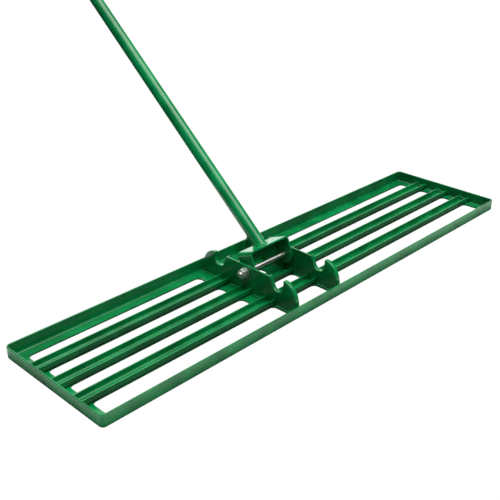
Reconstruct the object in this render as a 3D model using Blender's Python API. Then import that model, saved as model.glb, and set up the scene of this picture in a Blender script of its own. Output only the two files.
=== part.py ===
"""Lawn levelling rake: a slotted steel pan with three channel ribs, a notched bracket and a long jointed
tube handle that swings on one bolt.

Frame, metres: X along the pan from left to right, Y from its front to its back, Z up. The origin lies on
the underside of the pan, at the middle of its length and width. The handle leans back over +Y.
"""

import math

import bmesh
import bpy
from mathutils import Vector

MM = 0.001
GAP = 0.3 * MM

# The pan.
PAN_LENGTH = 1067 * MM
PAN_WIDTH = 254 * MM
RIM_HEIGHT = 25.4 * MM
PAN_SHEET = 3.0 * MM
PAN_BEND = 7.0 * MM
PAN_CORNER = 9.0 * MM

# The ribs, channels with both edges turned up, and the slots between them.
RIB_PITCH = 57.3 * MM
RIB_WIDTH = 23.0 * MM
RIB_TOP = 16.0 * MM
RIB_SHEET = 2.3 * MM
RIB_BEND = 5.5 * MM
STRIP_WIDTH = 17.0 * MM
SLOT_OUTER_EDGE = 105.5 * MM
SLOT_LEFT_END = -508 * MM
SLOT_RIGHT_END = 514 * MM
SLOT_CORNER = 9.0 * MM

# The bracket: its middle lies to the left of the middle of the pan. Both side plates are the same
# pressing, with a lip turned towards +X along the tower's sides, the notches and the lobes.
BRACKET_X = -58.8 * MM
PLATE_SPACING = 111.0 * MM
PLATE_OFFSET = -1.5 * MM
PLATE_SHEET = 3.0 * MM
LIP_DEPTH = 8.5 * MM
LIP_BEND = 2.4 * MM
TOWER_TOP = 56.2 * MM
TOWER_HALF = 54.8 * MM
NOTCH_INNER = 60.2 * MM
NOTCH_OUTER = 85.5 * MM
NOTCH_BOTTOM = 32.0 * MM
LOBE_TIP = {-1: 59.0 * MM, 1: 54.5 * MM}
LOBE_FOOT = 18.0 * MM
PLATE_END = 117.8 * MM
MIDDLE_SLOT_HALF = 24.5 * MM
OUTER_SLOT_START = 82.2 * MM

# The pivot and the yoke that swings on it.
PIVOT_Y = 5.0 * MM
PIVOT_Z = 42.0 * MM
BOLT_RADIUS = 5.0 * MM
YOKE_OUTER_HALF = 50.2 * MM
YOKE_SHEET = 3.0 * MM
YOKE_BEND = 8.0 * MM
YOKE_HALF_WIDTH = 18.0 * MM
YOKE_HEIGHT = 34.5 * MM
YOKE_BACK_LOW = 11.0 * MM
YOKE_LEAN = math.radians(21.6)

# The handle, three tubes screwed end to end.
HANDLE_ELEVATION = math.radians(40.4)
HANDLE_OFFSET = 7.5 * MM
TUBE_RADIUS = 12.0 * MM
TUBE_WALL = 1.1 * MM
TUBE_LENGTH = 600 * MM
JOINT_RADIUS = 6.0 * MM
GRIP_RADIUS = 15.5 * MM
GRIP_LENGTH = 130 * MM

for old in list(bpy.data.objects):
    bpy.data.objects.remove(old)

parts = bpy.data.collections.new("lawn_levelling_rake")
cutters = bpy.data.collections.new("cutters")
bpy.context.scene.collection.children.link(parts)
bpy.context.scene.collection.children.link(cutters)


def material(name, colour, roughness, metallic):
    made = bpy.data.materials.new(name)
    made.use_nodes = True
    shader = made.node_tree.nodes["Principled BSDF"]
    shader.inputs["Base Color"].default_value = (*colour, 1)
    shader.inputs["Roughness"].default_value = roughness
    shader.inputs["Metallic"].default_value = metallic
    return made


GREEN_PAINT = material("green_powder_coat", (0.005, 0.25, 0.055), 0.3, 0.0)
ZINC = material("zinc_plated_steel", (0.62, 0.62, 0.6), 0.35, 1.0)
BARE_STEEL = material("turned_steel", (0.5, 0.5, 0.5), 0.4, 1.0)
NYLON = material("nylon", (0.75, 0.75, 0.72), 0.5, 0.0)
RUBBER = material("black_rubber", (0.02, 0.02, 0.02), 0.7, 0.0)


def mesh_object(name, bm, finish, smooth=True):
    """Closed, outward-facing, in the parts collection."""
    bmesh.ops.remove_doubles(bm, verts=bm.verts, dist=1e-6)
    bmesh.ops.recalc_face_normals(bm, faces=bm.faces)
    mesh = bpy.data.meshes.new(name)
    bm.to_mesh(mesh)
    bm.free()
    made = bpy.data.objects.new(name, mesh)
    parts.objects.link(made)
    if finish:
        mesh.materials.append(finish)
    if smooth:
        mesh.shade_smooth()
        mesh.set_sharp_from_angle(angle=math.radians(35))
    return made


def as_cutter(made):
    parts.objects.unlink(made)
    cutters.objects.link(made)
    made.hide_render = True
    made.display_type = "WIRE"
    return made


def boolean(target, tool, operation="DIFFERENCE"):
    cut = target.modifiers.new(operation.lower(), "BOOLEAN")
    cut.operation = operation
    cut.solver = "EXACT"
    cut.object = tool


def arc(centre, radius, start, end, steps, squash=1.0):
    """Points on an arc in degrees, both ends included; squash scales its second coordinate."""
    turn = [math.radians(start + (end - start) * i / steps) for i in range(steps + 1)]
    return [(centre[0] + radius * math.cos(a), centre[1] + squash * radius * math.sin(a)) for a in turn]


def prism(name, outline, low, high, finish, place, smooth=True):
    """A flat outline carried from low to high; place turns (first, second, along) into x, y, z."""
    bm = bmesh.new()
    ends = [[bm.verts.new(place(a, b, along)) for a, b in outline] for along in (low, high)]
    bm.faces.new(ends[0])
    bm.faces.new(list(reversed(ends[1])))
    count = len(outline)
    for i in range(count):
        j = (i + 1) % count
        bm.faces.new((ends[0][i], ends[1][i], ends[1][j], ends[0][j]))
    return mesh_object(name, bm, finish, smooth)


def along_x(a, b, along):
    return (along, a, b)


def along_y(a, b, along):
    return (a, along, b)


def along_z(a, b, along):
    return (a, b, along)


def turned(name, profile, finish, segments=32):
    """A solid turned about Z from (radius, z) points; points on the axis close it."""
    bm = bmesh.new()
    rings = []
    for radius, z in profile:
        if radius < 1e-7:
            rings.append([bm.verts.new((0, 0, z))])
        else:
            turn = [2 * math.pi * i / segments for i in range(segments)]
            rings.append([bm.verts.new((radius * math.cos(a), radius * math.sin(a), z)) for a in turn])
    closed = len(rings[0]) > 1
    pairs = list(zip(rings, rings[1:] + rings[:1])) if closed else list(zip(rings, rings[1:]))
    for lower, upper in pairs:
        for i in range(segments):
            j = (i + 1) % segments
            if len(lower) == 1:
                bm.faces.new((lower[0], upper[i], upper[j]))
            elif len(upper) == 1:
                bm.faces.new((lower[i], upper[0], lower[j]))
            else:
                bm.faces.new((lower[i], upper[i], upper[j], lower[j]))
    return mesh_object(name, bm, finish)


def rounded_rectangle(x0, x1, y0, y1, radius, steps=5):
    points = []
    for cx, cy, start in (
        (x1 - radius, y1 - radius, 0),
        (x0 + radius, y1 - radius, 90),
        (x0 + radius, y0 + radius, 180),
        (x1 - radius, y0 + radius, 270),
    ):
        points += arc((cx, cy), radius, start, start + 90, steps)
    return points


# Pan: one sheet pressed into a shallow tray, then slotted.


def pan_ring(bm, inset, z):
    radius = max(PAN_CORNER - inset, 1.2 * MM)
    half_x = PAN_LENGTH / 2 - inset
    half_y = PAN_WIDTH / 2 - inset
    outline = rounded_rectangle(-half_x, half_x, -half_y, half_y, radius)
    return [bm.verts.new((x, y, z)) for x, y in outline]


bm = bmesh.new()
levels = []
for a in (90, 72, 54, 36, 18, 0):
    turn = math.radians(a)
    levels.append((PAN_BEND * (1 - math.cos(turn)), PAN_BEND * (1 - math.sin(turn))))
levels.append((0.0, RIM_HEIGHT - 0.8 * MM))
levels.append((0.8 * MM, RIM_HEIGHT))
levels.append((PAN_SHEET - 0.8 * MM, RIM_HEIGHT))
levels.append((PAN_SHEET, RIM_HEIGHT - 0.8 * MM))
inner_bend = PAN_BEND - PAN_SHEET
for a in (0, 18, 36, 54, 72, 90):
    turn = math.radians(a)
    levels.append((PAN_BEND - inner_bend * math.cos(turn), PAN_BEND - inner_bend * math.sin(turn)))
rings = [pan_ring(bm, inset, z) for inset, z in levels]
bm.faces.new(rings[0])
bm.faces.new(list(reversed(rings[-1])))
for lower, upper in zip(rings, rings[1:]):
    for i in range(len(lower)):
        j = (i + 1) % len(lower)
        bm.faces.new((lower[i], upper[i], upper[j], lower[j]))
pan = mesh_object("pan", bm, GREEN_PAINT)

left_plate_x = BRACKET_X + PLATE_OFFSET - PLATE_SPACING / 2
right_plate_x = BRACKET_X + PLATE_OFFSET + PLATE_SPACING / 2
strip = STRIP_WIDTH / 2
slot_rows = (
    (RIB_PITCH + strip, SLOT_OUTER_EDGE),
    (strip, RIB_PITCH - strip),
    (strip - RIB_PITCH, -strip),
    (-SLOT_OUTER_EDGE, -RIB_PITCH - strip),
)
slot_bridges = (
    (-OUTER_SLOT_START, -MIDDLE_SLOT_HALF, MIDDLE_SLOT_HALF, OUTER_SLOT_START),
    (-OUTER_SLOT_START, -MIDDLE_SLOT_HALF, MIDDLE_SLOT_HALF, OUTER_SLOT_START),
    (-OUTER_SLOT_START, -53.5 * MM, 53.5 * MM, OUTER_SLOT_START),
    (-60.5 * MM, -50.5 * MM, 50.5 * MM, 60.5 * MM),
)
for row, (near, far) in enumerate(slot_rows):
    ends = [BRACKET_X + x for x in slot_bridges[row]]
    lengths = (
        (SLOT_LEFT_END, ends[0]),
        (ends[1], ends[2]),
        (ends[3], SLOT_RIGHT_END),
    )
    for piece, (start, end) in enumerate(lengths):
        outline = rounded_rectangle(start, end, near, far, SLOT_CORNER)
        slot = prism(f"slot_cutter_{row}_{piece}", outline, -5 * MM, 10 * MM, None, along_z, False)
        boolean(pan, as_cutter(slot))


# Ribs: three rolled channels welded on the strips between the slots.

half = RIB_WIDTH / 2
rib_floor = PAN_SHEET + GAP
inner_radius = RIB_BEND - RIB_SHEET
rib_outline = [(-half, RIB_TOP - 0.5 * MM)]
rib_outline += arc((RIB_BEND - half, rib_floor + RIB_BEND), RIB_BEND, 180, 270, 6)
rib_outline += arc((half - RIB_BEND, rib_floor + RIB_BEND), RIB_BEND, 270, 360, 6)
rib_outline += [(half, RIB_TOP - 0.5 * MM), (half - 0.5 * MM, RIB_TOP)]
rib_outline += [(half - RIB_SHEET + 0.5 * MM, RIB_TOP), (half - RIB_SHEET, RIB_TOP - 0.5 * MM)]
rib_outline += arc((half - RIB_BEND, rib_floor + RIB_BEND), inner_radius, 360, 270, 4)
rib_outline += arc((RIB_BEND - half, rib_floor + RIB_BEND), inner_radius, 270, 180, 4)
rib_outline += [(RIB_SHEET - half, RIB_TOP - 0.5 * MM), (RIB_SHEET - half - 0.5 * MM, RIB_TOP)]
rib_outline += [(0.5 * MM - half, RIB_TOP)]
rib_end = PAN_LENGTH / 2 - PAN_BEND + 0.7 * MM
for name, y in (("rib_rear", RIB_PITCH), ("rib_middle", 0.0), ("rib_front", -RIB_PITCH)):
    rib = prism(name, rib_outline, -rib_end, rib_end, GREEN_PAINT, along_x)
    rib.location.y = y


# Side plates: a tower for the pivot, a towing notch at each side of it, and rounded outer lobes.

notch_radius = (NOTCH_OUTER - NOTCH_INNER) / 2
notch_middle = (NOTCH_OUTER + NOTCH_INNER) / 2
notch_z = NOTCH_BOTTOM + notch_radius
lobe_start = NOTCH_OUTER + 2.0 * MM
half_plate = [(0.0, TOWER_TOP)]
half_plate += arc((TOWER_HALF - 2.5 * MM, TOWER_TOP - 2.5 * MM), 2.5 * MM, 90, 20, 4)
half_plate += arc((notch_middle, notch_z), notch_radius, 180, 360, 14)


def ellipse(start, end, foot, tip):
    """A quarter of an ellipse, from (start, tip) out and down to (end, foot)."""
    turn = [math.radians(90 * i / 10) for i in range(11)]
    return [(start + (end - start) * math.sin(a), foot + (tip - foot) * math.cos(a)) for a in turn]


def over_rib(y, side):
    """The foot of a plate where a rib crosses it: it stands over the edges and reaches into the hollow."""
    clear = half + GAP
    over = RIB_TOP + 2 * GAP
    inside = half - RIB_SHEET - GAP
    low = rib_floor + RIB_SHEET + GAP
    corner = 2.4 * MM
    floor = PAN_SHEET + GAP
    points = [
        (clear, floor),
        (clear, over),
        (inside, over),
        (inside, low + corner),
        (inside - corner, low),
    ]
    points += [(-a, b) for a, b in reversed(points)]
    return [(y + side * a, b) for a, b in points]


def side_outline(side):
    """The outline from the tower's middle to the middle rib, on the front (-1) or the back (+1)."""
    tip = LOBE_TIP[side]
    points = [(side * y, z) for y, z in half_plate]
    points.append((side * (NOTCH_OUTER + 0.4 * MM), tip - 1.2 * MM))
    points += [(side * y, z) for y, z in ellipse(lobe_start, PLATE_END, LOBE_FOOT, tip)]
    floor = PAN_SHEET + GAP
    points.append((side * PLATE_END, floor + 3 * MM))
    points.append((side * (PLATE_END - 3 * MM), floor))
    points += over_rib(side * RIB_PITCH, side)
    points += over_rib(0.0, side)[:5]
    return points


def side_pocket(side):
    """The hollow behind the lip on one side, open above the tower and below the foot."""
    sheet = PLATE_SHEET
    points = [(TOWER_HALF - sheet, TOWER_TOP + 5 * MM), (TOWER_HALF - sheet, TOWER_TOP - 2.5 * MM)]
    points += arc((notch_middle, notch_z), notch_radius + sheet, 180, 360, 14)
    points += ellipse(NOTCH_OUTER + sheet, PLATE_END - sheet, LOBE_FOOT, LOBE_TIP[side] - sheet - 0.6 * MM)
    points.append((PLATE_END - sheet, -5 * MM))
    return [(side * y, z) for y, z in points]


def inset_outline(points, inset):
    """The outline drawn inwards, less along the tower's top and the foot, which have no bend."""
    count = len(points)
    moved = []
    for i, (y, z) in enumerate(points):
        before = Vector(points[i]) - Vector(points[i - 1])
        after = Vector(points[(i + 1) % count]) - Vector(points[i])
        normals = [Vector((d.y, -d.x)).normalized() for d in (before, after)]
        normal = (normals[0] + normals[1]).normalized()
        share = 1.0 if z > RIB_TOP + 1 * MM and z < TOWER_TOP - 0.2 * MM else 0.15
        if abs(y) > NOTCH_OUTER:
            share = 1.0 if z > 8 * MM else 0.15
        moved.append((y - inset * share * normal.x, z - inset * share * normal.y))
    return moved


def side_plate(name, x):
    bm = bmesh.new()
    levels = []
    for i in range(5):
        turn = math.radians(90 * i / 4)
        levels.append((LIP_BEND * (1 - math.sin(turn)), LIP_BEND * (1 - math.cos(turn))))
    levels.append((0.0, LIP_DEPTH - 0.5 * MM))
    levels.append((0.5 * MM, LIP_DEPTH))
    rings = []
    for inset, depth in levels:
        outline = inset_outline(plate_outline, inset)
        rings.append([bm.verts.new((x + depth, y, z)) for y, z in outline])
    bm.faces.new(rings[0])
    bm.faces.new(list(reversed(rings[-1])))
    for lower, upper in zip(rings, rings[1:]):
        for i in range(len(lower)):
            j = (i + 1) % len(lower)
            bm.faces.new((lower[i], upper[i], upper[j], lower[j]))
    plate = mesh_object(name, bm, GREEN_PAINT)
    pocket = prism(f"{name}_pocket", pocket_outline, x + PLATE_SHEET, x + 20 * MM, None, along_x, False)
    boolean(plate, as_cutter(pocket))
    boolean(plate, hole)


plate_outline = list(reversed(side_outline(1)[1:])) + side_outline(-1)
pocket_outline = list(reversed(side_pocket(1))) + side_pocket(-1)
area = sum(a[0] * b[1] - b[0] * a[1] for a, b in zip(plate_outline, plate_outline[1:] + plate_outline[:1]))
if area < 0:
    plate_outline.reverse()
hole = turned(
    "bolt_hole_cutter",
    [(0, -1), (BOLT_RADIUS + GAP, -1), (BOLT_RADIUS + GAP, 1), (0, 1)],
    None,
)
hole.rotation_euler = (0, math.pi / 2, 0)
hole.location = (0, PIVOT_Y, PIVOT_Z)
as_cutter(hole)
side_plate("side_plate_left", left_plate_x - PLATE_SHEET / 2)
side_plate("side_plate_right", right_plate_x - PLATE_SHEET / 2)


# Pivot bolt along X with its head on the right, washers, and a lock nut with a nylon ring on the left.

left_face = PLATE_SPACING / 2 + PLATE_SHEET / 2 - PLATE_OFFSET
left_inner = left_face - PLATE_SHEET
right_face = PLATE_SPACING / 2 + PLATE_SHEET / 2 + PLATE_OFFSET
right_inner = right_face - PLATE_SHEET
washer = 2.0 * MM
nut_seat = left_face + washer + 2 * GAP
nut_height = 9.0 * MM
nut_hexagon_height = 6.0 * MM
bolt_end = nut_seat + 13.5 * MM
head_seat = right_face + washer + 2 * GAP
head_height = 6.4 * MM
ACROSS_FLATS = 17 * MM


def hexagon(across):
    radius = across / math.sqrt(3)
    turn = [math.radians(60 * i + 12) for i in range(6)]
    return [(radius * math.cos(a), radius * math.sin(a)) for a in turn]


def on_pivot(made):
    """Stands a piece modelled about Z on the pivot axis, its +Z turned to world -X."""
    made.rotation_euler = (0, -math.pi / 2, 0)
    made.location = (BRACKET_X, PIVOT_Y, PIVOT_Z)
    return made


def chamfer_tool(name, low, high):
    """What a hexagon keeps inside: a disc with both rims turned off at 30 degrees."""
    radius = ACROSS_FLATS / math.sqrt(3)
    drop = (radius - ACROSS_FLATS / 2) * 0.577 + 0.1 * MM
    flat = ACROSS_FLATS / 2 * 0.97
    wide = radius + 0.2 * MM
    profile = [(0, low), (flat, low), (wide, low + drop), (wide, high - drop), (flat, high), (0, high)]
    return on_pivot(as_cutter(turned(name, profile, None, 48)))


bolt = turned(
    "pivot_bolt",
    [
        (0, -head_seat - 2 * MM),
        (BOLT_RADIUS, -head_seat - 2 * MM),
        (BOLT_RADIUS, bolt_end - 1.2 * MM),
        (BOLT_RADIUS - 1.2 * MM, bolt_end),
        (0, bolt_end),
    ],
    ZINC,
)
head = prism(
    "bolt_head_stock", hexagon(ACROSS_FLATS), -head_seat - head_height, -head_seat, ZINC, along_z, False
)
boolean(head, chamfer_tool("bolt_head_chamfer", -head_seat - head_height, -head_seat), "INTERSECT")
boolean(bolt, on_pivot(as_cutter(head)), "UNION")
on_pivot(bolt)

nut = prism("lock_nut", hexagon(ACROSS_FLATS), nut_seat, nut_seat + nut_height, ZINC, along_z, False)
boolean(nut, chamfer_tool("nut_chamfer", nut_seat, nut_seat + nut_height), "INTERSECT")
nut_bore = turned(
    "nut_bore_cutter",
    [
        (0, 0),
        (BOLT_RADIUS + GAP, 0),
        (BOLT_RADIUS + GAP, nut_seat + nut_hexagon_height),
        (BOLT_RADIUS + 2.3 * MM, nut_seat + nut_hexagon_height),
        (BOLT_RADIUS + 2.3 * MM, 1),
        (0, 1),
    ],
    None,
)
boolean(nut, on_pivot(as_cutter(nut_bore)))
on_pivot(nut)
ring = turned(
    "lock_nut_ring",
    [
        (BOLT_RADIUS + GAP, nut_seat + nut_hexagon_height + GAP),
        (BOLT_RADIUS + 2 * MM, nut_seat + nut_hexagon_height + GAP),
        (BOLT_RADIUS + 2 * MM, nut_seat + nut_height),
        (BOLT_RADIUS + GAP, nut_seat + nut_height),
    ],
    NYLON,
)
on_pivot(ring)


def washer_piece(name, start, thickness, radius, finish):
    """A flat ring on the bolt from start, measured towards -X, its edges broken a little."""
    bore = BOLT_RADIUS + GAP
    edge = 0.3 * MM
    made = turned(
        name,
        [
            (bore, start),
            (radius - edge, start),
            (radius, start + edge),
            (radius, start + thickness - edge),
            (radius - edge, start + thickness),
            (bore, start + thickness),
        ],
        finish,
    )
    return on_pivot(made)


left_spacer = left_inner - YOKE_OUTER_HALF - 2 * GAP
right_spacer = right_inner - YOKE_OUTER_HALF - 2 * GAP
washer_piece("nut_washer", left_face + GAP, washer, 10.5 * MM, ZINC)
washer_piece("spacer_left", YOKE_OUTER_HALF + GAP, left_spacer, 11 * MM, NYLON)
washer_piece("spacer_right", -YOKE_OUTER_HALF - GAP - right_spacer, right_spacer, 11 * MM, NYLON)
washer_piece("head_washer", -right_face - GAP - washer, washer, 10.5 * MM, ZINC)


# Yoke: plate bent into a U with a back between its ears, which are drilled for the bolt. Its empty
# stands on the pivot axis.

pivot = bpy.data.objects.new("handle_pivot", None)
parts.objects.link(pivot)
pivot.location = (BRACKET_X, PIVOT_Y, PIVOT_Z)
pivot.rotation_euler = (-YOKE_LEAN, 0, 0)


def on_handle(made, location=(0, 0, 0), rotation=(0, 0, 0)):
    made.parent = pivot
    made.location = location
    made.rotation_euler = rotation
    return made


outer, inner = YOKE_BEND, YOKE_BEND - YOKE_SHEET
low = -YOKE_HALF_WIDTH - 2 * MM
bend_x, bend_z = YOKE_OUTER_HALF - outer, YOKE_HEIGHT - outer
yoke_outline = [(YOKE_OUTER_HALF, low)]
yoke_outline += arc((bend_x, bend_z), outer, 0, 90, 6)
yoke_outline += arc((-bend_x, bend_z), outer, 90, 180, 6)
yoke_outline += [(-YOKE_OUTER_HALF, low), (YOKE_SHEET - YOKE_OUTER_HALF, low)]
yoke_outline += arc((-bend_x, bend_z), inner, 180, 90, 4)
yoke_outline += arc((bend_x, bend_z), inner, 90, 0, 4)
yoke_outline += [(YOKE_OUTER_HALF - YOKE_SHEET, low)]
yoke = prism("yoke", yoke_outline, -YOKE_HALF_WIDTH, YOKE_HALF_WIDTH, GREEN_PAINT, along_y)
back_half = YOKE_OUTER_HALF - YOKE_SHEET / 2
back_outline = [
    (-back_half, YOKE_BACK_LOW),
    (back_half, YOKE_BACK_LOW),
    (back_half, YOKE_HEIGHT - YOKE_BEND),
    (back_half - YOKE_BEND + YOKE_SHEET / 2, YOKE_HEIGHT - YOKE_SHEET / 2),
    (YOKE_BEND - YOKE_SHEET / 2 - back_half, YOKE_HEIGHT - YOKE_SHEET / 2),
    (-back_half, YOKE_HEIGHT - YOKE_BEND),
]
back = prism(
    "yoke_back_stock",
    back_outline,
    YOKE_HALF_WIDTH - YOKE_SHEET,
    YOKE_HALF_WIDTH - 0.5 * MM,
    GREEN_PAINT,
    along_y,
)
boolean(yoke, on_handle(as_cutter(back)), "UNION")
ear = arc((0, 0), YOKE_HALF_WIDTH - 0.5 * MM, 180, 360, 16)
ear += [(YOKE_HALF_WIDTH - 0.5 * MM, 0.06), (0.5 * MM - YOKE_HALF_WIDTH, 0.06)]
ear_tool = prism("ear_shape", ear, -0.1, 0.1, None, along_x, False)
boolean(yoke, on_handle(as_cutter(ear_tool)), "INTERSECT")
yoke_hole = turned(
    "yoke_hole_cutter",
    [(0, -1), (BOLT_RADIUS + GAP, -1), (BOLT_RADIUS + GAP, 1), (0, 1)],
    None,
)
boolean(yoke, on_handle(as_cutter(yoke_hole), rotation=(0, math.pi / 2, 0)))
on_handle(yoke)


# Handle: three tubes in line. The lowest is mitred to the yoke's web; each joint is a tapped plug in the
# lower tube and a threaded stud in the upper one.

lean = math.pi / 2 - HANDLE_ELEVATION - YOKE_LEAN
axis_empty = bpy.data.objects.new("handle_axis", None)
parts.objects.link(axis_empty)
on_handle(axis_empty, (0, HANDLE_OFFSET, YOKE_HEIGHT), (-lean, 0, 0))


def on_axis(made):
    made.parent = axis_empty
    return made


def tube(name, start, end):
    inner_radius = TUBE_RADIUS - TUBE_WALL
    return on_axis(
        turned(
            name,
            [(inner_radius, start), (TUBE_RADIUS, start), (TUBE_RADIUS, end), (inner_radius, end)],
            GREEN_PAINT,
            40,
        )
    )


first = TUBE_LENGTH
second = 2 * TUBE_LENGTH + GAP
third = 3 * TUBE_LENGTH + 2 * GAP
lower_tube = tube("tube_lower", -30 * MM, first)
mitre = prism(
    "mitre_cutter",
    [(-0.1, -0.1), (0.1, -0.1), (0.1, YOKE_HEIGHT + GAP), (-0.1, YOKE_HEIGHT + GAP)],
    -0.1,
    0.1,
    None,
    along_x,
    False,
)
boolean(lower_tube, on_handle(as_cutter(mitre)))
tube("tube_middle", first + GAP, second)
tube("tube_upper", second + GAP, third)

PLUG = TUBE_RADIUS - TUBE_WALL - GAP
for name, end in (("lower", first), ("upper", second)):
    on_axis(
        turned(
            f"socket_{name}",
            [
                (JOINT_RADIUS + GAP, end - 32 * MM),
                (PLUG - 0.6 * MM, end - 32 * MM),
                (PLUG, end - 31.4 * MM),
                (PLUG, end - 0.2 * MM),
                (JOINT_RADIUS + GAP, end - 0.2 * MM),
            ],
            BARE_STEEL,
        )
    )
    on_axis(
        turned(
            f"stud_{name}",
            [
                (0, end - 24 * MM),
                (JOINT_RADIUS - 1 * MM, end - 24 * MM),
                (JOINT_RADIUS, end - 23 * MM),
                (JOINT_RADIUS, end + 0.4 * MM),
                (PLUG, end + 0.4 * MM),
                (PLUG, end + 29.4 * MM),
                (PLUG - 0.6 * MM, end + 30 * MM),
                (0, end + 30 * MM),
            ],
            BARE_STEEL,
        )
    )

grip_start = third - GRIP_LENGTH
on_axis(
    turned(
        "grip",
        [
            (0, third + GAP),
            (TUBE_RADIUS + GAP, third + GAP),
            (TUBE_RADIUS + GAP, grip_start),
            (GRIP_RADIUS - 1.5 * MM, grip_start),
            (GRIP_RADIUS, grip_start + 1.5 * MM),
            (GRIP_RADIUS, third - 1 * MM),
            (GRIP_RADIUS - 1 * MM, third + 2 * MM),
            (GRIP_RADIUS - 4 * MM, third + 4 * MM),
            (0, third + 4.6 * MM),
        ],
        RUBBER,
        40,
    )
)
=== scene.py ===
"""Lawn levelling rake: a slotted steel pan with channel ribs, a notched bracket and a long jointed handle.

X runs along the pan, Y from its front to its back, Z up, in metres. Two bodies: head and handle.
"""

import math

import bmesh
import bpy
from mathutils import Matrix, Vector


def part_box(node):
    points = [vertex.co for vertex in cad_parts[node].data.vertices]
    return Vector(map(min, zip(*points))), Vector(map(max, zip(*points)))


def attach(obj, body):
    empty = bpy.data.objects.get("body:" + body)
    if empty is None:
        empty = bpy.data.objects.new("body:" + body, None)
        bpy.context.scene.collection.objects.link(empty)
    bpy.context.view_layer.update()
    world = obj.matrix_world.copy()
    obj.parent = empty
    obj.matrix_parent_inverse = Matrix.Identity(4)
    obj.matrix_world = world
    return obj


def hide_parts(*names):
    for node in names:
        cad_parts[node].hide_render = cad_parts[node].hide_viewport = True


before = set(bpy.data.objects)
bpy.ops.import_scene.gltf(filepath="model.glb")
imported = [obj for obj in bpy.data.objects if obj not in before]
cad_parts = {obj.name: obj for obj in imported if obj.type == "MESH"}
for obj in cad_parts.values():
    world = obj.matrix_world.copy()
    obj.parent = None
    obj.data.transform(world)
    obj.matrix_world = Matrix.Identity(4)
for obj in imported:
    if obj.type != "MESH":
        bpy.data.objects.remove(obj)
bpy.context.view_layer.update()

# Pan: one sheet of mild steel, pressed into a shallow tray with rounded corners and slotted in four rows,
# then powder coated green all over. The coat rounds every cut edge, and its gloss shows a fine orange
# peel and the shallow waves that pressing leaves in the sheet.

MM = 0.001
PAN_GREEN = ("#036C36", "#058748")
COAT_CLOUD_ACROSS = 45 * MM
COAT_CLOUD_ENDS = (0.34, 0.64)
COAT_ROUGHNESS = (0.15, 0.24)
PEEL_ACROSS = 2.1 * MM
PEEL_DEPTH = 0.03 * MM
WAVE_ACROSS = 38 * MM
WAVE_DEPTH = 0.7 * MM
NOISE_ENDS = (0.3, 0.7)  # a noise seldom leaves this range
PAN_EDGE = 0.7 * MM
EDGE_SEGMENTS = 3
CUT_CORNER = 38  # degrees from which a corner counts as a cut edge
FLAT_WITHIN = 0.4  # degrees up to which two triangles are one flat face
SAME_POINT = 0.002 * MM


def linear(hex_colour):
    """An sRGB hex colour as linear red, green, blue and 1."""
    parts = [int(hex_colour[i:i + 2], 16) / 255 for i in (1, 3, 5)]
    turned = [c / 12.92 if c <= 0.04045 else ((c + 0.055) / 1.055) ** 2.4 for c in parts]
    return (*turned, 1.0)


def add(tree, kind, settings=None, values=None, links=None):
    """Adds one node: its own settings, the values of its inputs, and links from other nodes' outputs."""
    node = tree.nodes.new(kind)
    for key, value in (settings or {}).items():
        setattr(node, key, value)
    for key, value in (values or {}).items():
        node.inputs[key].default_value = value
    for key, (source, output) in (links or {}).items():
        tree.links.new(source.outputs[output], node.inputs[key])
    return node


def new_finish(name):
    """An empty material, its node tree, and the link that gives a pattern its place, in metres."""
    made = bpy.data.materials.new(name)
    made.use_nodes = True
    tree = made.node_tree
    tree.nodes.clear()
    return made, tree, {"Vector": (add(tree, "ShaderNodeTexCoord"), "Object")}


def mottled(tree, where, across, detail, colours, ends=NOISE_ENDS):
    """A noise of this size, and the colour that drifts with it between two sRGB hex values."""
    cloud = add(tree, "ShaderNodeTexNoise", None, {"Scale": 1 / across, "Detail": detail}, where)
    share = add(tree, "ShaderNodeMapRange", None, {"From Min": ends[0], "From Max": ends[1]},
                {"Value": (cloud, "Fac")})
    tint = add(tree, "ShaderNodeMix", {"data_type": "RGBA"},
               {6: linear(colours[0]), 7: linear(colours[1])}, {0: (share, "Result")})
    return cloud, tint


def end_finish(tree, values, tint, bump, more_links=None):
    """Ends a material: a Principled shader with this colour and relief, and the output."""
    shader = add(tree, "ShaderNodeBsdfPrincipled", None, values,
                 {"Base Color": (tint, 2), "Normal": (bump, "Normal"), **(more_links or {})})
    add(tree, "ShaderNodeOutputMaterial", links={"Surface": (shader, "BSDF")})


def gloss_powder_coat(name, colours):
    """Polyester powder coat, sprayed and baked: a deep green gloss with orange peel about 2 mm across, and
    under it the broad shallow waves of the sheet, which bend the reflections."""
    made, tree, where = new_finish(name)
    cloud, tint = mottled(tree, where, COAT_CLOUD_ACROSS, 3.0, colours, COAT_CLOUD_ENDS)
    rough = add(tree, "ShaderNodeMapRange", None,
                {"From Min": NOISE_ENDS[0], "From Max": NOISE_ENDS[1],
                 "To Min": COAT_ROUGHNESS[0], "To Max": COAT_ROUGHNESS[1]}, {"Value": (cloud, "Fac")})
    peel = add(tree, "ShaderNodeTexNoise", None, {"Scale": 1 / PEEL_ACROSS, "Detail": 2.0}, where)
    waves = add(tree, "ShaderNodeTexNoise", None, {"Scale": 1 / WAVE_ACROSS, "Detail": 1.0}, where)
    broad = add(tree, "ShaderNodeBump", None, {"Strength": 0.8, "Distance": WAVE_DEPTH},
                {"Height": (waves, "Fac")})
    fine = add(tree, "ShaderNodeBump", None, {"Strength": 0.07, "Distance": PEEL_DEPTH},
               {"Height": (peel, "Fac"), "Normal": (broad, "Normal")})
    end_finish(tree, {"IOR": 1.5}, tint, fine, {"Roughness": (rough, "Result")})
    return made


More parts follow.
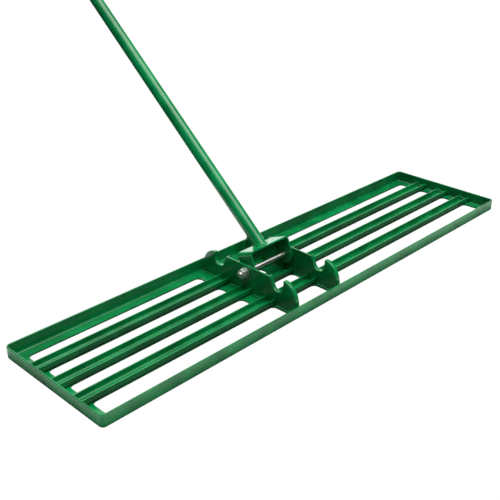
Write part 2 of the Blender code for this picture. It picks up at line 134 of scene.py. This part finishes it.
def merged_copy(node):
    """The CAD node's triangles merged into one surface again, with its flat faces whole."""
    bm = bmesh.new()
    bm.from_mesh(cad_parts[node].data)
    bmesh.ops.remove_doubles(bm, verts=bm.verts, dist=SAME_POINT)
    flat = math.radians(FLAT_WITHIN)
    bmesh.ops.dissolve_limit(bm, angle_limit=flat, verts=bm.verts, edges=bm.edges)
    mesh = bpy.data.meshes.new(node)
    bm.to_mesh(mesh)
    bm.free()
    return mesh


def new_piece(mesh, name, body, finish):
    """A piece of the visual model in one finish, moving with its body."""
    mesh.materials.clear()
    mesh.materials.append(finish)
    made = bpy.data.objects.new(name, mesh)
    bpy.context.scene.collection.objects.link(made)
    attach(made, body)
    return made


def edge_broken(node, name, body, finish, edge, corner=CUT_CORNER):
    """The node with its cut edges rounded as the finish rounds them, standing for the CAD node."""
    mesh = merged_copy(node)
    mesh.shade_smooth()
    mesh.set_sharp_from_angle(angle=math.radians(corner))
    made = new_piece(mesh, name, body, finish)
    round_off = made.modifiers.new("rounded edges", "BEVEL")
    round_off.width = edge
    round_off.segments = EDGE_SEGMENTS
    round_off.limit_method = "ANGLE"
    round_off.angle_limit = math.radians(corner)
    round_off.harden_normals = True
    round_off.use_clamp_overlap = True
    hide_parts(node)
    return made


pan_coat = gloss_powder_coat("gloss_powder_coat_pan_green", PAN_GREEN)
edge_broken("pan", "pressed_pan", "head", pan_coat, PAN_EDGE)

# Ribs: three channels rolled from 2.3 mm strip, open side up, laid on the strips between the slots. Their
# ends are welded to the pan's end walls with one bead round the channel, and coated with the pan.

RIB_ROWS = ("rear", "middle", "front")
RIB_EDGE = 0.6 * MM
RIB_BEND = 5 * MM
RIB_MIDDLE_OF_SHEET = 1.2 * MM
END_BEAD = 2.1 * MM
END_BEAD_INSET = 2 * MM
END_BEAD_PAST = 1.3 * MM
BEAD_STEP = 0.6 * MM
BEAD_SIDES = 12
BEAD_TAPER = 2.5 * MM
BEAD_END_SIZE = 0.3
BEAD_UNEVEN_ACROSS = 6.25 * MM
GROWN_SAME_POINT = 0.001 * MM


def new_tree(name, numbers):
    """A Geometry Nodes tree that takes a mesh, these numbers and a finish, and gives a mesh."""
    tree = bpy.data.node_groups.new(name, "GeometryNodeTree")
    sockets = tree.interface
    sockets.new_socket("Start", in_out="INPUT", socket_type="NodeSocketGeometry")
    for label, value in numbers.items():
        kind = "NodeSocketInt" if isinstance(value, int) else "NodeSocketFloat"
        sockets.new_socket(label, in_out="INPUT", socket_type=kind).default_value = value
    sockets.new_socket("Finish", in_out="INPUT", socket_type="NodeSocketMaterial")
    sockets.new_socket("Shape", in_out="OUTPUT", socket_type="NodeSocketGeometry")
    return tree, add(tree, "NodeGroupInput")


def end_tree(tree, given, source, output):
    """Ends a Geometry Nodes tree: the shape made real and given its finish."""
    real = add(tree, "GeometryNodeRealizeInstances", links={"Geometry": (source, output)})
    finished = add(tree, "GeometryNodeSetMaterial",
                   links={"Geometry": (real, "Geometry"), "Material": (given, "Finish")})
    add(tree, "NodeGroupOutput", links={"Shape": (finished, "Geometry")})


def weld_bead_tree():
    """Geometry Nodes: a rod swept along a path, rippled and a little uneven, tapering where the arc starts
    and stops."""
    tree, given = new_tree("weld_bead", {
        "Bead Radius": 2 * MM, "Ripple Pitch": 2.4 * MM, "Ripple": 0.07, "Uneven": 0.35, "Seed": 4.0,
    })
    path = add(tree, "GeometryNodeMeshToCurve", links={"Mesh": (given, "Start")})
    even = add(tree, "GeometryNodeResampleCurve", {"mode": "LENGTH"}, {"Length": BEAD_STEP},
               {"Curve": (path, "Curve")})
    along = add(tree, "GeometryNodeSplineParameter")
    whole = add(tree, "GeometryNodeSplineLength")
    turns = add(tree, "ShaderNodeMath", {"operation": "DIVIDE"}, None,
                {0: (along, "Length"), 1: (given, "Ripple Pitch")})
    phase = add(tree, "ShaderNodeMath", {"operation": "MULTIPLY"}, {1: 2 * math.pi}, {0: (turns, 0)})
    wave = add(tree, "ShaderNodeMath", {"operation": "SINE"}, None, {0: (phase, 0)})
    ripple = add(tree, "ShaderNodeMath", {"operation": "MULTIPLY_ADD"}, {2: 1.0},
                 {0: (wave, 0), 1: (given, "Ripple")})
    spot = add(tree, "GeometryNodeInputPosition")
    noise = add(tree, "ShaderNodeTexNoise", {"noise_dimensions": "4D"},
                {"Scale": 1 / BEAD_UNEVEN_ACROSS, "Detail": 1.0},
                {"Vector": (spot, "Position"), "W": (given, "Seed")})
    centred = add(tree, "ShaderNodeMath", {"operation": "SUBTRACT"}, {1: 0.5}, {0: (noise, "Fac")})
    size = add(tree, "ShaderNodeMath", {"operation": "MULTIPLY_ADD"}, None,
               {0: (centred, 0), 1: (given, "Uneven"), 2: (ripple, 0)})
    left = add(tree, "ShaderNodeMath", {"operation": "SUBTRACT"}, None,
               {0: (whole, "Length"), 1: (along, "Length")})
    nearest = add(tree, "ShaderNodeMath", {"operation": "MINIMUM"}, None,
                  {0: (along, "Length"), 1: (left, 0)})
    taper = add(tree, "ShaderNodeMapRange", {"interpolation_type": "SMOOTHSTEP"},
                {"From Min": 0.0, "From Max": BEAD_TAPER, "To Min": BEAD_END_SIZE, "To Max": 1.0},
                {"Value": (nearest, 0)})
    tapered = add(tree, "ShaderNodeMath", {"operation": "MULTIPLY"}, None,
                  {0: (size, 0), 1: (taper, "Result")})
    radius = add(tree, "ShaderNodeMath", {"operation": "MULTIPLY"}, None,
                 {0: (tapered, 0), 1: (given, "Bead Radius")})
    ring = add(tree, "GeometryNodeCurvePrimitiveCircle", None, {"Resolution": BEAD_SIDES, "Radius": 1.0})
    rod = add(tree, "GeometryNodeCurveToMesh", None, {"Fill Caps": True},
              {"Curve": (even, "Curve"), "Profile Curve": (ring, "Curve"), "Scale": (radius, 0)})
    smooth = add(tree, "GeometryNodeSetShadeSmooth", links={"Geometry": (rod, "Mesh")})
    end_tree(tree, given, smooth, "Geometry")
    return tree


def grown(mesh, tree, inputs):
    """The mesh after a Geometry Nodes tree with these named inputs, as a plain mesh."""
    start = bpy.data.objects.new("start", mesh)
    bpy.context.scene.collection.objects.link(start)
    growth = start.modifiers.new("growth", "NODES")
    growth.node_group = tree
    sockets = {item.name: item.identifier for item in tree.interface.items_tree if item.in_out == "INPUT"}
    for name, value in inputs.items():
        growth[sockets[name]] = value
    bpy.context.view_layer.update()
    ready = bpy.data.meshes.new_from_object(start.evaluated_get(bpy.context.evaluated_depsgraph_get()))
    bpy.data.objects.remove(start)
    bm = bmesh.new()
    bm.from_mesh(ready)
    bmesh.ops.remove_doubles(bm, verts=bm.verts, dist=GROWN_SAME_POINT)
    bmesh.ops.recalc_face_normals(bm, faces=bm.faces)
    bm.to_mesh(ready)
    bm.free()
    return ready


def welds(name, body, paths, radius, seed, coat):
    """Weld beads along open paths, each a row of points, as one coated piece."""
    points, edges = [], []
    for path in paths:
        first = len(points)
        points += path
        edges += [(first + i, first + i + 1) for i in range(len(path) - 1)]
    mesh = bpy.data.meshes.new(f"{name}_paths")
    mesh.from_pydata(points, edges, [])
    bead = grown(mesh, bead_tree, {"Bead Radius": radius, "Seed": seed, "Finish": coat})
    return new_piece(bead, name, body, coat)


bead_tree = weld_bead_tree()
end_paths = []
for row in RIB_ROWS:
    edge_broken(f"rib_{row}", f"channel_rib_{row}", "head", pan_coat, RIB_EDGE)
    low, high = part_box(f"rib_{row}")
    front, back = low.y + RIB_MIDDLE_OF_SHEET, high.y - RIB_MIDDLE_OF_SHEET
    bottom, top = low.z + RIB_BEND, high.z - END_BEAD_INSET
    channel = [(front, top), (front, bottom + END_BEAD_INSET), (front + RIB_BEND / 2, bottom)]
    channel += [(back - RIB_BEND / 2, bottom), (back, bottom + END_BEAD_INSET), (back, top)]
    for end_x in (low.x - END_BEAD_PAST, high.x + END_BEAD_PAST):
        end_paths.append([Vector((end_x, y, z)) for y, z in channel])
welds("rib_end_welds", "head", end_paths, END_BEAD, seed=2.0, coat=pan_coat)

# Side plates: two pressings of 3 mm plate with a lip turned to the right along the tower's sides, the
# towing notches and the lobes. They stand over the ribs, and a bead on the flat side of each foot, broken
# where the ribs pass, holds them to the pan.

PLATE_EDGE = 0.6 * MM
FOOT_BEAD = 2 * MM
FOOT_BEAD_OUT = 0.4 * MM
FOOT_BEAD_UP = 0.3 * MM
FOOT_BEAD_FROM_END = 3 * MM
FOOT_BEAD_FROM_RIB = 2 * MM

foot_paths = []
for side in ("left", "right"):
    edge_broken(f"side_plate_{side}", f"side_plate_{side}_pressing", "head", pan_coat, PLATE_EDGE)
    low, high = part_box(f"side_plate_{side}")
    ends = [low.y + FOOT_BEAD_FROM_END]
    for row in reversed(RIB_ROWS):
        near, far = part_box(f"rib_{row}")
        ends += [near.y - FOOT_BEAD_FROM_RIB, far.y + FOOT_BEAD_FROM_RIB]
    ends.append(high.y - FOOT_BEAD_FROM_END)
    x, z = low.x - FOOT_BEAD_OUT, low.z + FOOT_BEAD_UP
    for start, stop in zip(ends[::2], ends[1::2]):
        foot_paths.append([Vector((x, start, z)), Vector((x, stop, z))])
welds("side_plate_foot_welds", "head", foot_paths, FOOT_BEAD, seed=6.0, coat=pan_coat)

# Pivot: an electroplated M10 bolt along X with its hexagon head on the right, a washer under each end, two
# moulded spacers beside the yoke, and on the left a lock nut with a nylon ring and the thread's last turns.

BOLT_ZINC = ("#D2D8D2", "#F0F3EF")
# The nut and washers' zinc is tinted green as a painted reflection of the green paint round them.
NUT_ZINC_PAINTED_REFLECTION = ("#98AA9A", "#BCCBBD")
MILKY_NYLON = ("#CFCDC2", "#E2E0D6")
ZINC_CLOUD_ACROSS = 3.85 * MM
ZINC_MARKS_ACROSS = 1.11 * MM
ZINC_MARKS_DEPTH = 0.01 * MM
ZINC_ROUGHNESS_DRIFT = 0.08
NYLON_CLOUD_ACROSS = 5.55 * MM
NYLON_CLOUD_DEPTH = 0.05 * MM
PLATED_EDGE = 0.25 * MM
MOULDED_EDGE = 0.2 * MM
SMALL_PART_CORNER = 28


def zinc_plate(name, colours, roughness, metallic):
    """Electroplated zinc: a greyish metal, a little cloudy, with fine marks that soften its gloss. The drawn
    shank is bright, and the nut and washers are duller, their grey tinted green and made partly not metal as
    a painted reflection of the green paint round them."""
    made, tree, where = new_finish(name)
    cloud, tint = mottled(tree, where, ZINC_CLOUD_ACROSS, 4.0, colours)
    rough = add(tree, "ShaderNodeMapRange", None,
                {"From Min": NOISE_ENDS[0], "From Max": NOISE_ENDS[1],
                 "To Min": roughness, "To Max": roughness + ZINC_ROUGHNESS_DRIFT}, {"Value": (cloud, "Fac")})
    marks = add(tree, "ShaderNodeTexNoise", None, {"Scale": 1 / ZINC_MARKS_ACROSS, "Detail": 2.0}, where)
    bump = add(tree, "ShaderNodeBump", None, {"Strength": 0.05, "Distance": ZINC_MARKS_DEPTH},
               {"Height": (marks, "Fac")})
    end_finish(tree, {"Metallic": metallic}, tint, bump, {"Roughness": (rough, "Result")})
    return made


def moulded_nylon():
    """Nylon 6, moulded: milky off-white with a soft sheen and faint mottling."""
    made, tree, where = new_finish("moulded_nylon")
    cloud, tint = mottled(tree, where, NYLON_CLOUD_ACROSS, 3.0, MILKY_NYLON)
    bump = add(tree, "ShaderNodeBump", None, {"Strength": 0.2, "Distance": NYLON_CLOUD_DEPTH},
               {"Height": (cloud, "Fac")})
    end_finish(tree, {"Roughness": 0.48, "IOR": 1.53}, tint, bump)
    return made


bolt_zinc = zinc_plate("bright_zinc_plate", BOLT_ZINC, roughness=0.28, metallic=1.0)
# Painted reflection: this zinc is tinted green and only partly metal, standing for the green paint it
# mirrors.
nut_zinc_painted_reflection = zinc_plate("dull_zinc_plate_painted_reflection", NUT_ZINC_PAINTED_REFLECTION, roughness=0.34, metallic=0.72)
nylon = moulded_nylon()
edge_broken("pivot_bolt", "pivot_bolt_plated", "head", bolt_zinc, PLATED_EDGE, SMALL_PART_CORNER)
for node in ("lock_nut", "head_washer", "nut_washer"):
    edge_broken(node, f"{node}_plated", "head", nut_zinc_painted_reflection, PLATED_EDGE, SMALL_PART_CORNER)
for node in ("lock_nut_ring", "spacer_left", "spacer_right"):
    edge_broken(node, f"{node}_moulded", "head", nylon, MOULDED_EDGE, SMALL_PART_CORNER)

THREAD_PITCH = 1.5 * MM
THREAD_RADIUS = 4.98 * MM
THREAD_CREST = 0.42 * MM
THREAD_FROM_RING = 0.2 * MM
THREAD_FROM_TIP = 1.5 * MM
THREAD_STEPS = 48
THREAD_SIDES = 6


def thread_tree():
    """Geometry Nodes: a helical crest of a screw thread, swept from a spiral about Z."""
    tree, given = new_tree("thread_crest", {
        "Thread Radius": THREAD_RADIUS, "Pitch": THREAD_PITCH, "Turns": 2.5, "Crest": THREAD_CREST,
    })
    height = add(tree, "ShaderNodeMath", {"operation": "MULTIPLY"}, None,
                 {0: (given, "Pitch"), 1: (given, "Turns")})
    helix = add(tree, "GeometryNodeCurveSpiral", None, {"Resolution": THREAD_STEPS}, {
        "Rotations": (given, "Turns"), "Start Radius": (given, "Thread Radius"),
        "End Radius": (given, "Thread Radius"), "Height": (height, 0),
    })
    ring = add(tree, "GeometryNodeCurvePrimitiveCircle", None, {"Resolution": THREAD_SIDES, "Radius": 1.0})
    rod = add(tree, "GeometryNodeCurveToMesh", None, {"Fill Caps": True},
              {"Curve": (helix, "Curve"), "Profile Curve": (ring, "Curve"), "Scale": (given, "Crest")})
    end_tree(tree, given, rod, "Mesh")
    return tree


ring_low, ring_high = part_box("lock_nut_ring")
pivot = (ring_low + ring_high) / 2
thread_start = ring_low.x - THREAD_FROM_RING
thread_shown = thread_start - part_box("pivot_bolt")[0].x - THREAD_FROM_TIP
thread = grown(bpy.data.meshes.new("thread"), thread_tree(),
               {"Turns": thread_shown / THREAD_PITCH, "Finish": bolt_zinc})
out_to_the_left = Matrix.Rotation(-math.pi / 2, 4, "Y")
thread.transform(Matrix.Translation((thread_start, pivot.y, pivot.z)) @ out_to_the_left)
new_piece(thread, "pivot_bolt_thread", "head", bolt_zinc)

# Yoke: 3 mm plate bent into a U over the bolt, with a back between its ears, coated with the handle. The
# lowest tube is mitred to stand on its web and welded there all round.

HANDLE_GREEN = ("#047F43", "#089653")
YOKE_EDGE = 0.6 * MM
YOKE_LEAN = math.radians(21.6)
WEB_HEIGHT = 34.5 * MM
WEB_HALF = 17 * MM
FOOT_FORWARD = 7.5 * MM
COLLAR_BEAD = 1.7 * MM
COLLAR_HALF = Vector((12.4 * MM, 14.0 * MM))
COLLAR_UP = 0.5 * MM
COLLAR_START, COLLAR_STEP, COLLAR_STEPS = 100, 5, 73  # degrees: the bead stops a step past its start

handle_coat = gloss_powder_coat("gloss_powder_coat_handle_green", HANDLE_GREEN)
edge_broken("yoke", "bent_yoke", "handle", handle_coat, YOKE_EDGE)
yoke_low, yoke_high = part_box("yoke")
to_yoke = Matrix.Translation(((yoke_low.x + yoke_high.x) / 2, pivot.y, pivot.z))
to_yoke @= Matrix.Rotation(-YOKE_LEAN, 4, "X")
collar = []
for i in range(COLLAR_STEPS + 1):
    turn = math.radians(COLLAR_START + COLLAR_STEP * i)
    x = COLLAR_HALF.x * math.cos(turn)
    y = min(FOOT_FORWARD + COLLAR_HALF.y * math.sin(turn), WEB_HALF)
    collar.append(to_yoke @ Vector((x, y, WEB_HEIGHT + COLLAR_UP)))
welds("handle_foot_weld", "handle", [collar], COLLAR_BEAD, seed=9.0, coat=handle_coat)

# Handle: three 24 mm steel tubes, coated outside and screwed end to end: each joint is a turned socket
# pressed into the lower tube and a turned stud in the upper one.

BARE_STEEL = ("#7E807F", "#A3A5A4")
STEEL_CLOUD_ACROSS = 7.1 * MM
LATHE_RING_PITCH = 1.1 * MM
LATHE_RING_DEPTH = 0.02 * MM
TUBE_EDGE = 0.3 * MM
TURNED_EDGE = 0.3 * MM


def box_middle(node):
    low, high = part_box(node)
    return (low + high) / 2


def turned_steel(name, way):
    """Free-cutting steel, turned and left bare: mid grey, satin, with lathe rings along the tube's way,
    drawn coarser than a real tool's so that they show."""
    made, tree, where = new_finish(name)
    _, tint = mottled(tree, where, STEEL_CLOUD_ACROSS, 3.0, BARE_STEEL)
    diagonal = 10 * (way.x + way.y + way.z)  # a diagonal wave turns by ten times the coordinates' sum
    rings = add(tree, "ShaderNodeTexWave", {"wave_type": "BANDS", "bands_direction": "DIAGONAL"},
                {"Scale": 2 * math.pi / (diagonal * LATHE_RING_PITCH), "Distortion": 0.4}, where)
    bump = add(tree, "ShaderNodeBump", None, {"Strength": 0.3, "Distance": LATHE_RING_DEPTH},
               {"Height": (rings, "Fac")})
    end_finish(tree, {"Metallic": 1.0, "Roughness": 0.36}, tint, bump)
    return made


handle_way = (box_middle("tube_upper") - box_middle("tube_middle")).normalized()
bare_steel = turned_steel("turned_bare_steel", handle_way)
for part in ("lower", "middle", "upper"):
    edge_broken(f"tube_{part}", f"handle_tube_{part}", "handle", handle_coat, TUBE_EDGE)
for node in ("socket_lower", "stud_lower", "socket_upper", "stud_upper"):
    edge_broken(node, f"{node}_turned", "handle", bare_steel, TURNED_EDGE, SMALL_PART_CORNER)

# Grip: a black rubber sleeve pulled over the end of the last tube, closed at its end, with moulded ridges
# round it for the hand.

CARBON_BLACK = ("#141413", "#20201F")
RUBBER_CLOUD_ACROSS = 11.1 * MM
RUBBER_GRAIN_ACROSS = 0.71 * MM
RUBBER_GRAIN_DEPTH = 0.06 * MM
GRIP_EDGE = 1.2 * MM
RIDGE_RADIUS = 1.1 * MM
RIDGE_SUNK = 0.3 * MM
RIDGE_SPACING = 5.5 * MM
RIDGE_MARGIN = 14 * MM
RIDGE_STEPS = 64
RIDGE_SIDES = 10


def moulded_rubber():
    """Natural rubber with carbon black, moulded: near black, dull, with a fine grain from the mould."""
    made, tree, where = new_finish("moulded_black_rubber")
    _, tint = mottled(tree, where, RUBBER_CLOUD_ACROSS, 4.0, CARBON_BLACK)
    grain = add(tree, "ShaderNodeTexNoise", None, {"Scale": 1 / RUBBER_GRAIN_ACROSS, "Detail": 2.0}, where)
    bump = add(tree, "ShaderNodeBump", None, {"Strength": 0.4, "Distance": RUBBER_GRAIN_DEPTH},
               {"Height": (grain, "Fac")})
    end_finish(tree, {"Roughness": 0.62, "IOR": 1.52}, tint, bump)
    return made


def grip_ridge_tree():
    """Geometry Nodes: equal rings set along a line about Z."""
    tree, given = new_tree("grip_ridges", {
        "Ring Radius": 15 * MM, "Ridge": RIDGE_RADIUS, "Spacing": RIDGE_SPACING, "Count": 10,
    })
    step = add(tree, "ShaderNodeCombineXYZ", links={"Z": (given, "Spacing")})
    line = add(tree, "GeometryNodeMeshLine", links={"Count": (given, "Count"), "Offset": (step, "Vector")})
    hoop = add(tree, "GeometryNodeCurvePrimitiveCircle", None, {"Resolution": RIDGE_STEPS},
               {"Radius": (given, "Ring Radius")})
    bulge = add(tree, "GeometryNodeCurvePrimitiveCircle", None, {"Resolution": RIDGE_SIDES},
                {"Radius": (given, "Ridge")})
    ridge = add(tree, "GeometryNodeCurveToMesh",
                links={"Curve": (hoop, "Curve"), "Profile Curve": (bulge, "Curve")})
    smooth = add(tree, "GeometryNodeSetShadeSmooth", links={"Geometry": (ridge, "Mesh")})
    row = add(tree, "GeometryNodeInstanceOnPoints",
              links={"Points": (line, "Mesh"), "Instance": (smooth, "Geometry")})
    end_tree(tree, given, row, "Instances")
    return tree


rubber = moulded_rubber()
edge_broken("grip", "rubber_grip_sleeve", "handle", rubber, GRIP_EDGE)
grip_low, grip_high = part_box("grip")
grip_radius = (grip_high.x - grip_low.x) / 2
# The slanted sleeve's box is longer than its axis by the slant of its two end faces.
grip_length = (grip_high.y - grip_low.y - 2 * grip_radius * handle_way.z) / handle_way.y
ridge_count = int((grip_length - 2 * RIDGE_MARGIN) / RIDGE_SPACING) + 1
ridges = grown(bpy.data.meshes.new("ridges"), grip_ridge_tree(),
               {"Ring Radius": grip_radius - RIDGE_SUNK, "Count": ridge_count, "Finish": rubber})
first_ridge = box_middle("grip") - handle_way * RIDGE_SPACING * (ridge_count - 1) / 2
along_handle = handle_way.to_track_quat("Z", "Y").to_matrix().to_4x4()
ridges.transform(Matrix.Translation(first_ridge) @ along_handle)
new_piece(ridges, "rubber_grip_ridges", "handle", rubber)

# Studio: a floor of white paper that looks plain white to the camera and throws light back up at the rake
# from a band round the pan, with soft light from a ceiling, from behind and from high on the front right.
# For every ray but the camera's, the paper is painted near black under the pan and close round it, as
# painted shade where the rake's shadow falls, and near black again past the band, as painted shade for the
# dark studio round it.

FLOOR_X, FLOOR_Y = 0.95, 0.45
FLOOR_DROP = 0.4 * MM
PLAIN_WHITE = 1.02
# Paper colours for light: painted shade under the pan, white in the band, painted shade far out.
PAPER_PAINTED_SHADE_NEAR, LIT_PAPER, PAPER_PAINTED_SHADE_FAR = 0.14, 0.95, 0.1
LIT_BAND_START = (3 * MM, 38 * MM)
LIT_BAND_END = (200 * MM, 320 * MM)
AMBIENT_LIGHT = 0.03

floor_mesh = bpy.data.meshes.new("studio_floor")
corners = [(-FLOOR_X, -FLOOR_Y, 0), (FLOOR_X, -FLOOR_Y, 0), (FLOOR_X, FLOOR_Y, 0), (-FLOOR_X, FLOOR_Y, 0)]
floor_mesh.from_pydata(corners, [], [(0, 1, 2, 3)])
floor = bpy.data.objects.new("studio_floor", floor_mesh)
floor.location.z = -FLOOR_DROP
bpy.context.scene.collection.objects.link(floor)
pan_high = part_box("pan")[1]
paper, sheet, where = new_finish("white_paper_floor_painted_shade")
across = add(sheet, "ShaderNodeVectorMath", {"operation": "ABSOLUTE"}, None, {0: where["Vector"]})
past_pan = add(sheet, "ShaderNodeVectorMath", {"operation": "SUBTRACT"},
               {1: (pan_high.x, pan_high.y, 0)}, {0: (across, "Vector")})
sides = add(sheet, "ShaderNodeSeparateXYZ", links={"Vector": (past_pan, "Vector")})
outside = add(sheet, "ShaderNodeMath", {"operation": "MAXIMUM"}, None, {0: (sides, "X"), 1: (sides, "Y")})
# Painted shade: the paper rises from near black under and close round the pan to white in the band, then
# falls to near black past it.
rise = add(sheet, "ShaderNodeMapRange", None,
           {"From Min": LIT_BAND_START[0], "From Max": LIT_BAND_START[1],
            "To Min": PAPER_PAINTED_SHADE_NEAR, "To Max": LIT_PAPER}, {"Value": (outside, 0)})
fall = add(sheet, "ShaderNodeMapRange", None,
           {"From Min": LIT_BAND_END[0], "From Max": LIT_BAND_END[1],
            "To Min": LIT_PAPER, "To Max": PAPER_PAINTED_SHADE_FAR}, {"Value": (outside, 0)})
band = add(sheet, "ShaderNodeMath", {"operation": "MINIMUM"}, None,
           {0: (rise, "Result"), 1: (fall, "Result")})
matt = add(sheet, "ShaderNodeBsdfDiffuse", links={"Color": (band, 0)})
white = add(sheet, "ShaderNodeEmission", values={"Color": linear("#FFFFFF"), "Strength": PLAIN_WHITE})
seen = add(sheet, "ShaderNodeLightPath")
either = add(sheet, "ShaderNodeMixShader", None, None,
             {0: (seen, "Is Camera Ray"), 1: (matt, "BSDF"), 2: (white, "Emission")})
add(sheet, "ShaderNodeOutputMaterial", links={"Surface": (either, "Shader")})
floor_mesh.materials.append(paper)

world = bpy.data.worlds.new("studio_surroundings")
bpy.context.scene.world = world
world.use_nodes = True
sky = world.node_tree
sky.nodes.clear()
all_round = add(sky, "ShaderNodeTexCoord")


def glow(toward, edge, core, strength):
    """Light from round one direction: none past its edge and full inside its core, both in degrees."""
    near = add(sky, "ShaderNodeVectorMath", {"operation": "DOT_PRODUCT"},
               {1: Vector(toward).normalized()}, {0: (all_round, "Generated")})
    return add(sky, "ShaderNodeMapRange", {"interpolation_type": "SMOOTHSTEP"},
               {"From Min": math.cos(math.radians(edge)), "From Max": math.cos(math.radians(core)),
                "To Min": 0.0, "To Max": strength}, {"Value": (near, "Value")})


ceiling = glow((0, 0, 1), edge=38.74, core=0, strength=4.8)
behind = glow((0.68, 0.68, 0.22), edge=36.87, core=14.07, strength=2.2)
key = glow((0.24, -0.48, 0.85), edge=27.13, core=9.94, strength=2.9)
lit = add(sky, "ShaderNodeMath", {"operation": "ADD"}, {1: AMBIENT_LIGHT}, {0: (ceiling, "Result")})
for lamp in (behind, key):
    lit = add(sky, "ShaderNodeMath", {"operation": "ADD"}, None, {0: (lit, 0), 1: (lamp, "Result")})
eye = add(sky, "ShaderNodeLightPath")
clear = add(sky, "ShaderNodeMix", {"data_type": "FLOAT"}, {3: PLAIN_WHITE},
            {0: (eye, "Is Camera Ray"), 2: (lit, 0)})
air = add(sky, "ShaderNodeBackground", None, {"Color": linear("#FFFFFF")}, {"Strength": (clear, 0)})
add(sky, "ShaderNodeOutputWorld", links={"Surface": (air, "Background")})

# Camera: at the front left of the head and about 0.7 m above the floor, level with the horizon, with a
# lens a little longer than normal.

CAMERA_PLACE = Vector((-1.02701, -0.89715, 0.72854))
AZIMUTH = math.radians(-45.6193)
ELEVATION = math.radians(26.6012)
SENSOR_WIDTH, FOCAL_LENGTH = 36, 58.202  # millimetres, as Blender takes them

camera_data = bpy.data.cameras.new("camera")
camera_data.sensor_width = SENSOR_WIDTH
camera_data.lens = FOCAL_LENGTH
camera_data.clip_start = 0.01
camera_data.clip_end = 100
camera = bpy.data.objects.new("camera", camera_data)
bpy.context.scene.collection.objects.link(camera)
backwards = Vector((
    math.sin(AZIMUTH) * math.cos(ELEVATION),
    -math.cos(AZIMUTH) * math.cos(ELEVATION),
    math.sin(ELEVATION),
))
right = (-backwards).cross(Vector((0, 0, 1))).normalized()
aim = Matrix((right, right.cross(-backwards), backwards)).transposed().to_4x4()
aim.translation = CAMERA_PLACE
camera.matrix_world = aim
bpy.context.scene.camera = camera
bpy.context.scene.view_settings.view_transform = "Standard"
